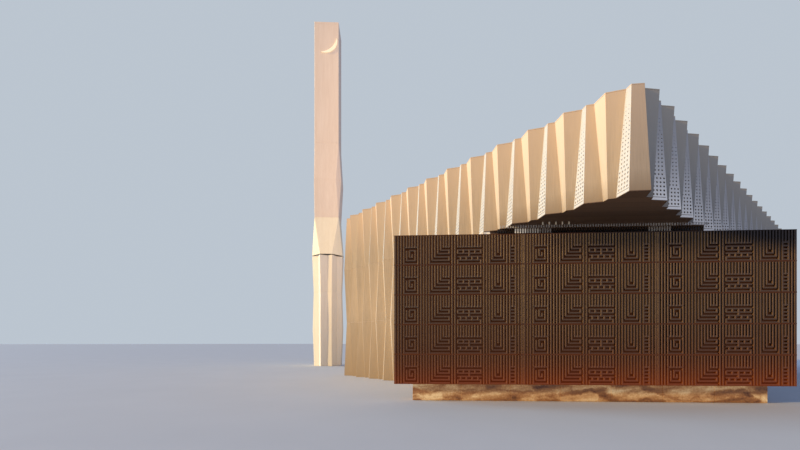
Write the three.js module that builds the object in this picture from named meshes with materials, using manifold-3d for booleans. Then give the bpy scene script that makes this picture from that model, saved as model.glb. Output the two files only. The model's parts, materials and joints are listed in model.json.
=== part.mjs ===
// A mosque: a folded prayer hall with a cut-away prow, a street screen and a folded minaret.
// Millimetres, +Z up. The origin is the middle of the hall's footprint, on the ground.
// The front wall faces -Y, and the prow is the corner at +X, -Y.

import * as THREE from 'three';
import { LoftGeometry } from 'three/addons/geometries/LoftGeometry.js';
import { ConvexGeometry } from 'three/addons/geometries/ConvexGeometry.js';
import { mergeVertices } from 'three/addons/utils/BufferGeometryUtils.js';
import Module from 'manifold-3d';

// Pleats of the hall's skin. A wide ridge at one level is a narrow one at the next.
const PLEAT = 1200;
const TIER = 2880;
const TIERS = 3;
const WIDE_HALF = 425;
const NARROW_HALF = PLEAT / 2 - WIDE_HALF;
const VALLEY_DEPTH = 266;
const NARROW_DEPTH = VALLEY_DEPTH * (1 - NARROW_HALF / WIDE_HALF);
const WALL_DEPTH = 390;

// Hall
const FRONT_PLEATS = 12;
const SIDE_PLEATS = 18;
const WIDTH = FRONT_PLEATS * PLEAT + 2 * WALL_DEPTH;
const LENGTH = SIDE_PLEATS * PLEAT + 2 * WALL_DEPTH;
const HALL_HEIGHT = TIERS * TIER;
const FLOOR_THICK = 150;
const ROOF_TOP = HALL_HEIGHT - 540;
const ROOF_THICK = 300;
const ROOF_UNDER = ROOF_TOP - ROOF_THICK;

// Cut-away under the prow. Its glazed wall and the screen share one direction.
const STREET_TURN = THREE.MathUtils.degToRad(47.7);
const RECESS_START = WALL_DEPTH + 4 * PLEAT;
const RECESS_HEIGHT = 2 * TIER;
const SOFFIT_THICK = 200;
const BEAM_DEPTH = 300;

// Glazed wall
const FRAME_DEPTH = 160;
const FRAME_BAYS = 6;
const DOOR_BAYS = 2;
const MULLION = 60;
const SILL = 80;
const HEAD = 100;
const DOOR_HEAD = TIER;
const TRANSOM = 80;
const GLASS_THICK = 20;
const GLASS_EDGE = 30;

// Screen: three bays of fretwork on four posts, held off a stone plinth
const SCREEN_START = new THREE.Vector2(-5585, -3755);
const SCREEN_BAY = 3880;
const SCREEN_BAYS = 3;
const SCREEN_LOW = 530;
const SCREEN_TIER = 906;
const SCREEN_TIERS = 5;
const SCREEN_HEIGHT = SCREEN_TIERS * SCREEN_TIER;
const PANEL_DEPTH = 160;
const PANEL_BACKING = 60;
const PANEL_JOINT = 6;
const RAIL = 44;
const RAIL_SETBACK = 12;
const POST = 120;
const POST_DEPTH = 400;
const END_POST_INSET = 1000;
const PLINTH_INSET = 560;
const PLINTH_SETBACK = 300;
const PLINTH_DEPTH = 300;

// Minaret: a square shaft on folded tiers, with an eight-sided hollow
const MINARET_START = new THREE.Vector2(-24038, 4050);
const MINARET_TURN = THREE.MathUtils.degToRad(53.4);
const MINARET_TIERS = 6;
const MINARET_HEIGHT = 26650;
// Its outline at each tier line: half its side, and half the flat left between its cut corners
const MINARET_SECTIONS = [
  [1050, 430],
  [1160, 430],
  [1080, 430],
  [1190, 470],
  [930, 930],
  [1110, 760],
  [930, 930],
];
const SHAFT_HALF = MINARET_SECTIONS[MINARET_TIERS][0];
const HOLLOW_RADIUS = 600;
const HOLLOW_SIDES = 8;
const CAP_THICK = 150;
const CRESCENT_RADIUS = 920;
const CRESCENT_INNER = 1354;
const CRESCENT_SHIFT = 669;
const CRESCENT_THICK = 60;
const CRESCENT_TURN = THREE.MathUtils.degToRad(-48);
const CRESCENT_X = -90;
const CRESCENT_Z = 25160;

// Clearance where turned pieces meet
const GAP = 0.3;
// How far a cutter reaches past what it cuts
const PAST = 3000;

const wasm = await Module();
wasm.setup();

const finish = (color, roughness, metalness = 0) => ({ color, roughness, metalness });
const FINISHES = {
  panel: finish(0xd9bd94, 0.7),
  floor: finish(0x9c948a, 0.8),
  roof: finish(0xb8b2a6, 0.9),
  soffit: finish(0x3a2c22, 0.6),
  frame: finish(0x2c2622, 0.45, 0.6),
  glass: finish(0x2a2f33, 0.08),
  bronze: finish(0x4e3a2c, 0.5, 0.7),
  amber: finish(0xc98f52, 0.3),
  minaret: finish(0xe2c8ae, 0.7),
};

const model = new THREE.Group();

function piece(name, geometry, finishName, parent = model) {
  const mesh = new THREE.Mesh(geometry, new THREE.MeshStandardMaterial(FINISHES[finishName]));
  mesh.name = name;
  parent.add(mesh);
  return mesh;
}

function toSolid(geometry) {
  const bare = new THREE.BufferGeometry().copy(geometry);
  bare.deleteAttribute('normal');
  bare.deleteAttribute('uv');
  const merged = mergeVertices(bare, 1e-3);
  return new wasm.Manifold(new wasm.Mesh({
    numProp: 3,
    vertProperties: new Float32Array(merged.attributes.position.array),
    triVerts: new Uint32Array(merged.index.array),
  }));
}

function fromSolid(solid) {
  const mesh = solid.getMesh();
  const geometry = new THREE.BufferGeometry();
  geometry.setAttribute('position', new THREE.BufferAttribute(mesh.vertProperties, 3));
  geometry.setIndex(new THREE.BufferAttribute(mesh.triVerts, 1));
  geometry.computeVertexNormals();
  return geometry;
}

const cut = (geometry, ...tools) => fromSolid(
  tools.reduce((solid, tool) => solid.subtract(toSolid(tool)), toSolid(geometry)),
);

// An upright prism over a plan outline, from one height to another
function prism(points, low, high) {
  const outline = new THREE.Shape(points.map(([x, y]) => new THREE.Vector2(x, y)));
  const geometry = new THREE.ExtrudeGeometry(outline, { depth: high - low, bevelEnabled: false });
  return geometry.translate(0, 0, low);
}

// A box from its low corner and its size
function block(low, size) {
  const geometry = new THREE.BoxGeometry(...size);
  return geometry.translate(...low.map((value, i) => value + size[i] / 2));
}

// Each facade: the corner that its pleats are counted from, the way along it and the way inward
const FACADES = {
  front: { corner: [WIDTH / 2, -LENGTH / 2], along: [-1, 0], inward: [0, 1] },
  right: { corner: [WIDTH / 2, -LENGTH / 2], along: [0, 1], inward: [-1, 0] },
  back: { corner: [WIDTH / 2, LENGTH / 2], along: [-1, 0], inward: [0, -1] },
  left: { corner: [-WIDTH / 2, -LENGTH / 2], along: [0, 1], inward: [1, 0] },
};

// The plan point at a distance along a facade and a depth behind its outermost plane
function onFacade({ corner, along, inward }, distance, depth) {
  return [0, 1].map((i) => corner[i] + along[i] * distance + inward[i] * depth);
}

// The ridges at the pleat joints are wide at the ground and at every second level
const jointIsWide = (level) => level % 2 === 0;
const jointHalf = (level) => (jointIsWide(level) ? WIDE_HALF : NARROW_HALF);
const jointDepth = (level) => (jointIsWide(level) ? 0 : NARROW_DEPTH);
const middleDepth = (level) => (jointIsWide(level) ? NARROW_DEPTH : 0);

// The plan outline of a run of pleats at one level, as distance along and depth
function pleatOutline(first, count, level) {
  const start = WALL_DEPTH + first * PLEAT;
  const end = start + count * PLEAT;
  const points = [];
  for (let at = start; at < end; at += PLEAT) {
    points.push([at, jointDepth(level)]);
    points.push([at + jointHalf(level), VALLEY_DEPTH]);
    points.push([at + PLEAT / 2, middleDepth(level)]);
    points.push([at + PLEAT - jointHalf(level), VALLEY_DEPTH]);
  }
  points.push([end, jointDepth(level)], [end, WALL_DEPTH], [start, WALL_DEPTH]);
  return points;
}

// A closed solid through one plan outline a level, whichever way round the outline runs
function tiered(outlineAt, levels = TIERS + 1) {
  const sections = [];
  for (let level = 0; level < levels; level += 1) {
    const outline = outlineAt(level).map(([x, y]) => new THREE.Vector2(x, y));
    if (THREE.ShapeUtils.isClockWise(outline)) outline.reverse();
    sections.push(outline.map(({ x, y }) => new THREE.Vector3(x, y, level * TIER)));
  }
  return new LoftGeometry(sections, { capStart: true, capEnd: true });
}

const pleatedWall = (facade, first, count) => tiered(
  (level) => pleatOutline(first, count, level).map(([s, depth]) => onFacade(facade, s, depth)),
);

// The chamfered piece between the first ridges of two facades that meet in a corner
function cornerPiece(facadeA, endA, facadeB, endB) {
  const fromEnd = (facade, end, length) => (depth) => onFacade(
    facade,
    end ? length - WALL_DEPTH : WALL_DEPTH,
    depth,
  );
  const a = fromEnd(facadeA, endA, WIDTH);
  const b = fromEnd(facadeB, endB, LENGTH);
  return tiered((level) => [a(jointDepth(level)), b(jointDepth(level)), a(WALL_DEPTH)]);
}

// The street line: where the cut-away meets the ground, and the ways along it and behind it
const ALONG_STREET = [Math.cos(STREET_TURN), Math.sin(STREET_TURN)];
const BEHIND_STREET = [-Math.sin(STREET_TURN), Math.cos(STREET_TURN)];
const RECESS_POINT = onFacade(FACADES.front, RECESS_START, 0);
const INNER_RIGHT = WIDTH / 2 - WALL_DEPTH;
const INNER_FRONT = -LENGTH / 2 + WALL_DEPTH;

const fromRecess = (along, behind) => [0, 1].map(
  (i) => RECESS_POINT[i] + ALONG_STREET[i] * along + BEHIND_STREET[i] * behind,
);

// Distances along the street line to the inner faces of the front and the right wall
const toFrontInner = (behind) => (
  (INNER_FRONT - RECESS_POINT[1] - BEHIND_STREET[1] * behind) / ALONG_STREET[1]
);
const toRightInner = (behind) => (
  (INNER_RIGHT - RECESS_POINT[0] - BEHIND_STREET[0] * behind) / ALONG_STREET[0]
);

// The plan strip between two distances behind the street line, from inner face to inner face
function streetStrip(near, far, gap = 0) {
  return [
    fromRecess(toFrontInner(near) + gap, near),
    fromRecess(toRightInner(near) - gap, near),
    fromRecess(toRightInner(far) - gap, far),
    fromRecess(toFrontInner(far) + gap, far),
  ];
}

// All that stands in front of the street line, below the soffit
const recessCutter = prism(
  [
    fromRecess(-PAST, 0),
    [WIDTH / 2 + PAST, -LENGTH / 2 - PAST],
    fromRecess(toRightInner(0) + PAST, 0),
  ],
  -PAST,
  RECESS_HEIGHT,
);

function addWalls(facadeName, pleats, bayPleats, cutBays = 0) {
  for (let bay = 0; bay * bayPleats < pleats; bay += 1) {
    const wall = pleatedWall(FACADES[facadeName], bay * bayPleats, bayPleats);
    piece(`${facadeName}_wall_${bay + 1}`, bay < cutBays ? cut(wall, recessCutter) : wall, 'panel');
  }
}

function addCorners() {
  const { front, right, back, left } = FACADES;
  piece('corner_prow', cut(cornerPiece(front, false, right, false), recessCutter), 'panel');
  piece('corner_right_back', cornerPiece(back, false, right, true), 'panel');
  piece('corner_left_back', cornerPiece(back, true, left, true), 'panel');
  piece('corner_left_front', cornerPiece(front, true, left, false), 'panel');
}

function addSlabs() {
  const [frontMeet, rightMeet] = streetStrip(0, BEAM_DEPTH);
  const [, , rightBack, frontBack] = streetStrip(0, BEAM_DEPTH);
  const innerPlan = [
    [INNER_RIGHT, -INNER_FRONT],
    [-INNER_RIGHT, -INNER_FRONT],
    [-INNER_RIGHT, INNER_FRONT],
  ];
  piece('floor_slab', prism([...innerPlan, frontMeet, rightMeet], 0, FLOOR_THICK), 'floor');
  piece('roof_slab', prism([...innerPlan, [INNER_RIGHT, INNER_FRONT]], ROOF_UNDER, ROOF_TOP), 'roof');
  const soffitTop = RECESS_HEIGHT + SOFFIT_THICK;
  const soffitPlan = [frontBack, [INNER_RIGHT, INNER_FRONT], rightBack];
  piece('soffit', prism(soffitPlan, RECESS_HEIGHT, soffitTop), 'soffit');
  piece('prow_beam', prism(streetStrip(0, BEAM_DEPTH), soffitTop, ROOF_UNDER), 'panel');
}

// A group that stands on the ground and is turned about the vertical
function turnedGroup([x, y], turn) {
  const group = new THREE.Group();
  group.position.set(x, y, 0);
  group.rotation.z = turn;
  model.add(group);
  return group;
}

const fromProw = (offset) => [WIDTH / 2 + offset.x, -LENGTH / 2 + offset.y];

function addGlazedWall() {
  const group = turnedGroup(RECESS_POINT, STREET_TURN);
  const start = toFrontInner(0);
  const bay = (toRightInner(0) - start) / FRAME_BAYS;
  const doorStart = start + (FRAME_BAYS - DOOR_BAYS) * bay;
  const rows = [
    [FLOOR_THICK + SILL, DOOR_HEAD - TRANSOM / 2],
    [DOOR_HEAD + TRANSOM / 2, RECESS_HEIGHT - HEAD],
  ];
  const holes = [];
  for (let i = 0; i < FRAME_BAYS; i += 1) {
    const low = start + i * bay + MULLION / 2;
    for (const [bottom, top] of i < FRAME_BAYS - DOOR_BAYS ? rows : rows.slice(1)) {
      holes.push(block([low, -PAST, bottom], [bay - MULLION, 2 * PAST, top - bottom]));
    }
  }
  const doorWidth = DOOR_BAYS * bay - MULLION;
  const doorTop = DOOR_HEAD - TRANSOM / 2;
  holes.push(block([doorStart + MULLION / 2, -PAST, -PAST], [doorWidth, 2 * PAST, PAST + doorTop]));

  const toGroup = ([x, y]) => {
    const offset = [x - RECESS_POINT[0], y - RECESS_POINT[1]];
    return [ALONG_STREET, BEHIND_STREET].map((way) => way[0] * offset[0] + way[1] * offset[1]);
  };
  const plan = streetStrip(0, FRAME_DEPTH, GAP).map(toGroup);
  const slab = prism(plan, FLOOR_THICK + GAP, RECESS_HEIGHT - GAP);
  piece('entrance_frame', cut(slab, ...holes), 'frame', group);

  const sheetLow = FLOOR_THICK + GAP;
  const sheet = block(
    [start + GLASS_EDGE, FRAME_DEPTH + GAP, sheetLow],
    [FRAME_BAYS * bay - 2 * GLASS_EDGE, GLASS_THICK, RECESS_HEIGHT - GAP - sheetLow],
  );
  const door = block([doorStart + MULLION / 2, 0, -PAST], [doorWidth, PAST, PAST + doorTop]);
  const edge = block([doorStart + doorWidth, 0, -PAST], [PAST, PAST, PAST + doorTop]);
  piece('entrance_glass', cut(sheet, door, edge), 'glass', group);
}

// The section of a screen bay: a backing with a rail at every tier line
function screenPanel() {
  const backing = PANEL_DEPTH - PANEL_BACKING;
  const section = new THREE.Shape();
  section.moveTo(PANEL_DEPTH, 0);
  section.lineTo(PANEL_DEPTH, SCREEN_HEIGHT);
  for (let i = SCREEN_TIERS; i >= 0; i -= 1) {
    const top = Math.min(i * SCREEN_TIER + RAIL / 2, SCREEN_HEIGHT);
    const bottom = Math.max(i * SCREEN_TIER - RAIL / 2, 0);
    if (i < SCREEN_TIERS) section.lineTo(backing, top);
    section.lineTo(RAIL_SETBACK, top);
    section.lineTo(RAIL_SETBACK, bottom);
    if (i > 0) section.lineTo(backing, bottom);
  }
  const depth = SCREEN_BAY - PANEL_JOINT;
  const geometry = new THREE.ExtrudeGeometry(section, { depth, bevelEnabled: false });
  // The section's X is depth and its Y is height: stand it up with the bay along X
  const stand = new THREE.Matrix4().makeBasis(
    new THREE.Vector3(0, 1, 0),
    new THREE.Vector3(0, 0, 1),
    new THREE.Vector3(1, 0, 0),
  );
  return geometry.applyMatrix4(stand);
}

function addScreen() {
  const group = turnedGroup(fromProw(SCREEN_START), STREET_TURN);
  const length = SCREEN_BAYS * SCREEN_BAY;
  for (let i = 0; i < SCREEN_BAYS; i += 1) {
    const panel = piece(`screen_panel_${i + 1}`, screenPanel(), 'bronze', group);
    panel.position.set(i * SCREEN_BAY + PANEL_JOINT / 2, 0, SCREEN_LOW);
  }
  const postPlaces = [END_POST_INSET, SCREEN_BAY, 2 * SCREEN_BAY, length - END_POST_INSET];
  postPlaces.forEach((x, i) => {
    const low = [x - POST / 2, PANEL_DEPTH + GAP, SCREEN_LOW + GAP];
    piece(`screen_post_${i + 1}`, block(low, [POST, POST_DEPTH, SCREEN_HEIGHT - GAP]), 'bronze', group);
  });
  const plinthSize = [length - 2 * PLINTH_INSET, PLINTH_DEPTH, SCREEN_LOW];
  piece('screen_plinth', block([PLINTH_INSET, PLINTH_SETBACK, 0], plinthSize), 'amber', group);
}

// The corners of the minaret's outline at one tier line
function minaretOutline(level, z) {
  const [half, flat] = MINARET_SECTIONS[level];
  const corners = [];
  for (const x of [-1, 1]) {
    for (const y of [-1, 1]) {
      corners.push(new THREE.Vector3(x * half, y * flat, z));
      if (flat < half) corners.push(new THREE.Vector3(x * flat, y * half, z));
    }
  }
  return corners;
}

function hollowCutter(low, high) {
  const height = high - low + 2 * PAST;
  const geometry = new THREE.CylinderGeometry(HOLLOW_RADIUS, HOLLOW_RADIUS, height, HOLLOW_SIDES);
  geometry.rotateX(Math.PI / 2);
  return geometry.translate(0, 0, (low + high) / 2);
}

function minaretTier(level) {
  const corners = [...minaretOutline(level, 0), ...minaretOutline(level + 1, TIER - GAP)];
  return cut(new ConvexGeometry(corners), hollowCutter(0, TIER));
}

// A crescent between two arcs, lying in XY with its thick side towards +X
function crescentShape() {
  const cosine = (CRESCENT_SHIFT ** 2 + CRESCENT_RADIUS ** 2 - CRESCENT_INNER ** 2)
    / (2 * CRESCENT_SHIFT * CRESCENT_RADIUS);
  const tip = Math.PI - Math.acos(cosine);
  const meet = new THREE.Vector2(Math.cos(tip), Math.sin(tip)).multiplyScalar(CRESCENT_RADIUS);
  const innerTip = Math.atan2(meet.y, meet.x + CRESCENT_SHIFT);
  const shape = new THREE.Shape();
  shape.absarc(0, 0, CRESCENT_RADIUS, -tip, tip, false);
  shape.absarc(-CRESCENT_SHIFT, 0, CRESCENT_INNER, innerTip, -innerTip, true);
  return shape;
}

function addMinaret() {
  const group = turnedGroup(fromProw(MINARET_START), MINARET_TURN);
  for (let level = 0; level < MINARET_TIERS; level += 1) {
    const tier = piece(`minaret_tier_${level + 1}`, minaretTier(level), 'minaret', group);
    tier.position.z = level * TIER;
  }
  const low = MINARET_TIERS * TIER;
  const high = MINARET_HEIGHT - CAP_THICK;
  const corner = [-SHAFT_HALF, -SHAFT_HALF];
  const side = 2 * SHAFT_HALF;
  const shaft = block([...corner, low], [side, side, high - GAP - low]);
  piece('minaret_shaft', cut(shaft, hollowCutter(low, high)), 'minaret', group);
  piece('minaret_cap', block([...corner, high], [side, side, CAP_THICK]), 'minaret', group);

  const settings = { depth: CRESCENT_THICK, bevelEnabled: false, curveSegments: 24 };
  const crescent = new THREE.ExtrudeGeometry(crescentShape(), settings);
  crescent.rotateZ(CRESCENT_TURN);
  crescent.rotateX(Math.PI / 2);
  const mesh = piece('minaret_crescent', crescent, 'minaret', group);
  mesh.position.set(CRESCENT_X, -SHAFT_HALF - GAP, CRESCENT_Z);
}

addWalls('front', FRONT_PLEATS, 3, 2);
addWalls('right', SIDE_PLEATS, 3, 2);
addWalls('back', FRONT_PLEATS, 6);
addWalls('left', SIDE_PLEATS, 6);
addCorners();
addSlabs();
addGlazedWall();
addScreen();
addMinaret();

export default model;
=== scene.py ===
# %% [markdown]
# # A folded mosque, dressed
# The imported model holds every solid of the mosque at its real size: a hall whose walls are folded like
# paper, a screen of dark bars before its cut-away corner, and a slim minaret. This lesson gives them
# their looks. It starts by loading the solids as a fixed frame, in metres with Z up, and everything
# that follows takes its places from them.

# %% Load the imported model
import json
import math

import bmesh
import bpy
import numpy as np
from mathutils import Matrix, Vector

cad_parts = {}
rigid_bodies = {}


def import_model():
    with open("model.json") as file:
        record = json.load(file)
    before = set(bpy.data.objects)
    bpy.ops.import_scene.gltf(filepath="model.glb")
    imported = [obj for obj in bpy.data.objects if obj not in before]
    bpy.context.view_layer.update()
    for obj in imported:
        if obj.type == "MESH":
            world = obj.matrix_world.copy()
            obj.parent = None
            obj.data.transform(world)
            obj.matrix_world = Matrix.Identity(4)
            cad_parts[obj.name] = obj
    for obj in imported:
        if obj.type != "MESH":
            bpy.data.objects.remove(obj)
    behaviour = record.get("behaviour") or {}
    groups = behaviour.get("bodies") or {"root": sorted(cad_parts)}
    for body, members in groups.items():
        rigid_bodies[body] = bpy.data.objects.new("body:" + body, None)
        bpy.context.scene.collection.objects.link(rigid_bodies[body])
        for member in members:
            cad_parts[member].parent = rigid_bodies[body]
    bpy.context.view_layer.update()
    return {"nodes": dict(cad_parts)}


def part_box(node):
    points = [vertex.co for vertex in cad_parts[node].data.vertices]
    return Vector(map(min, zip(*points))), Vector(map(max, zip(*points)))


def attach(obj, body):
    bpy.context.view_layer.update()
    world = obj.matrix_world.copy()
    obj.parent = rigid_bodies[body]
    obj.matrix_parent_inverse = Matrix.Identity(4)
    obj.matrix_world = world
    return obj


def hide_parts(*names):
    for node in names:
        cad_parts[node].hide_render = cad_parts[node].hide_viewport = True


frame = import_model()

NODES = frame["nodes"]
ROOT = "root"


def rounded(values, digits=2):
    return [round(value, digits) for value in values]


# %% [markdown]
# ## Where things are
# The hall stands square to the axes, so plain boxes measure it. The screen and the glazed wall cross the
# hall's corner, askew to its walls, and the minaret has a turn of its own. A turned piece is easiest to
# build in its own directions: along it, behind it and up. One matrix for each turn leads from those to
# the world, and measuring a solid in its own directions gives its true length, depth and height.

# %% Measure the hall and the turned pieces
HALL_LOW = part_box("corner_left_front")[0]
HALL_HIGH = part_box("corner_right_back")[1]
PROW = Vector((HALL_HIGH.x, HALL_LOW.y, 0))
TIERS = 3
TOP_LEVEL = TIERS - 1
TIER = HALL_HIGH.z / TIERS
BAY_PLEATS = 3
PLEAT = (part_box("front_wall_3")[1].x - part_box("front_wall_3")[0].x) / BAY_PLEATS
WALL_DEPTH = HALL_HIGH.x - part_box("right_wall_3")[0].x

SKEW_TURN = math.radians(47.7)
SKEW = Matrix.Rotation(SKEW_TURN, 4, "Z")
SKEW_BEHIND = SKEW @ Vector((0, 1, 0))
MINARET_TURN = math.radians(53.4)
MINARET = Matrix.Rotation(MINARET_TURN, 4, "Z")

# The cut-away takes two storeys of the first pleats on both sides of the prow
CUT_LEVELS = 2
CUT_PLEATS = 4
CUT_START = WALL_DEPTH + CUT_PLEATS * PLEAT
CUT_LINE = Vector((HALL_HIGH.x - CUT_START, HALL_LOW.y, 0))
TOP_FOOT = CUT_LEVELS * TIER


def box_along(turn, node):
    """The lowest and highest corner of a solid, measured in a turned frame."""
    back = turn.inverted()
    places = np.array([back @ v.co for v in NODES[node].data.vertices])
    return Vector(places.min(0)), Vector(places.max(0))


screen_low, screen_high = box_along(SKEW, "screen_panel_1")
print("hall", rounded(HALL_HIGH - HALL_LOW), "pleat", round(PLEAT, 3), "tier", round(TIER, 3))
print("screen bay", rounded(screen_high - screen_low))
print("cut-away starts", round(CUT_START, 2), "m from the prow")

# %% [markdown]
# ## Camera
# The picture is a level view with upright verticals, so the camera looks along the horizon and the lens
# is shifted up instead of being tilted. Its focal length and place come from the vanishing points of
# the two long walls. A camera could also be aimed at an empty with a Track To constraint, but a plain
# turn is exact.

# %% Set up the camera
FRAME_WIDTH, FRAME_HEIGHT = 800, 450
FOCAL_PIXELS = 390.2
HORIZON_PIXEL = 343
SENSOR = 36
EYE_HEIGHT = 1.78
CAMERA_TURN = math.radians(51.01)
CAMERA_FROM_PROW = Vector((3.779, -11.099, EYE_HEIGHT))

lens = bpy.data.cameras.new("camera")
lens.sensor_width = SENSOR
lens.lens = FOCAL_PIXELS * SENSOR / FRAME_WIDTH
lens.shift_y = (HORIZON_PIXEL - FRAME_HEIGHT / 2) / FRAME_WIDTH
camera = bpy.data.objects.new("camera", lens)
camera.location = PROW + CAMERA_FROM_PROW
camera.rotation_euler = (math.pi / 2, 0, CAMERA_TURN)
bpy.context.scene.collection.objects.link(camera)
bpy.context.scene.camera = camera
print("camera at", rounded(camera.location), "lens", round(lens.lens, 2), "mm")

# %% [markdown]
# ## Light
# The folds only read when light rakes across them. A low warm sun picks out every flank that faces it
# and leaves the far wall in shade, and a fainter cool sun and the sky fill the shadows. An area lamp
# would do for a small object, but over thirty metres a sun keeps the light even. The sky is one colour
# for the light it casts and a paler one where the camera sees it, and a Light Path node tells the two
# apart.

# %% Sky
SKY_LIGHT = (0.238, 0.315, 0.51, 1)
SKY_SEEN = (0.50, 0.56, 0.63, 1)
# A Mix node's sockets for colours, by number: two go in and one comes out
MIX_FIRST, MIX_SECOND, MIX_RESULT = 6, 7, 2

world = bpy.data.worlds.new("sky")
world.use_nodes = True
sky = world.node_tree
seen = sky.nodes.new("ShaderNodeMix")
seen.data_type = "RGBA"
seen.inputs[MIX_FIRST].default_value = SKY_LIGHT
seen.inputs[MIX_SECOND].default_value = SKY_SEEN
sky.links.new(sky.nodes.new("ShaderNodeLightPath").outputs["Is Camera Ray"], seen.inputs[0])
sky.links.new(seen.outputs[MIX_RESULT], sky.nodes["Background"].inputs["Color"])
bpy.context.scene.world = world
bpy.context.scene.view_settings.view_transform = "Standard"
print("sky", SKY_SEEN[:3], "lights with", SKY_LIGHT[:3])


# %% Suns
def add_sun(name, colour, strength, spread, bearing, height):
    """A sun shines along its own -Z, so it is tipped up from there and turned about the vertical."""
    sun = bpy.data.lights.new(name, "SUN")
    sun.color = colour
    sun.energy = strength
    sun.angle = math.radians(spread)
    holder = bpy.data.objects.new(name, sun)
    holder.rotation_euler = (math.pi / 2 - math.radians(height), 0, math.radians(bearing))
    bpy.context.scene.collection.objects.link(holder)
    print(name, height, "degrees high")


add_sun("sun", colour=(1.0, 0.715, 0.285), strength=3.9, spread=5, bearing=-28, height=13)
add_sun("soft_fill", colour=(0.48, 0.74, 1.0), strength=2.1, spread=20, bearing=-58, height=12)

# %% [markdown]
# ## A soft box for the minaret
# The minaret stands far from the hall, in light of its own. It gets an area lamp as tall as itself,
# which wraps it evenly from one side. Light linking names the collection that a lamp shines on, and so
# keeps this one off the hall and the floor. The collection is filled once the minaret is built.

# %% The soft box
BOX_DISTANCE = 8
BOX_WIDTH = 2.5
BOX_RISE = 1
BOX_LIFT = 3
BOX_TURN = math.radians(342)
BOX_COLOUR = (1.0, 0.74, 0.56)
BOX_POWER = 790

minaret_low, minaret_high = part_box("minaret_shaft")
MINARET_AXIS = (minaret_low + minaret_high) / 2
box_height = minaret_high.z + BOX_RISE
soft_box = bpy.data.lights.new("soft_box", "AREA")
soft_box.shape = "RECTANGLE"
soft_box.size, soft_box.size_y = BOX_WIDTH, box_height
soft_box.color = BOX_COLOUR
soft_box.energy = BOX_POWER
box_holder = bpy.data.objects.new("soft_box", soft_box)
away = Vector((math.cos(BOX_TURN), math.sin(BOX_TURN), 0))
box_holder.location = Vector((*MINARET_AXIS.xy, box_height / 2 + BOX_LIFT)) + away * BOX_DISTANCE
box_holder.rotation_euler = (math.pi / 2, 0, BOX_TURN + math.pi / 2)
box_holder.visible_camera = False
bpy.context.scene.collection.objects.link(box_holder)
MINARET_PIECES = bpy.data.collections.new("minaret_pieces")
box_holder.light_linking.receiver_collection = MINARET_PIECES
print("soft box", round(box_height, 1), "m tall")

# %% [markdown]
# ## Writing shaders as sums
# A material is a graph of nodes, but most of it is arithmetic. The small class below wraps one output
# socket and gives it Python's operators, so that `1 - mask * 0.5` adds the Math nodes by itself. Every
# other node comes from one method, which takes the node's type, its settings and what goes into its
# sockets. Node groups would also tidy a graph, but expressions are shorter to read.

# %% The shader helper
class Wire:
    """One output socket of a material's graph."""

    def __init__(self, shader, socket):
        self.shader = shader
        self.socket = socket

    def __add__(self, other):
        return self.shader.math("ADD", self, other)

    def __radd__(self, other):
        return self.shader.math("ADD", other, self)

    def __sub__(self, other):
        return self.shader.math("SUBTRACT", self, other)

    def __rsub__(self, other):
        return self.shader.math("SUBTRACT", other, self)

    def __mul__(self, other):
        return self.shader.math("MULTIPLY", self, other)

    def __rmul__(self, other):
        return self.shader.math("MULTIPLY", other, self)

    def __truediv__(self, other):
        return self.shader.math("DIVIDE", self, other)

    def __rtruediv__(self, other):
        return self.shader.math("DIVIDE", other, self)

    def __lt__(self, other):
        return self.shader.math("LESS_THAN", self, other)

    def __gt__(self, other):
        return self.shader.math("GREATER_THAN", self, other)


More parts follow.
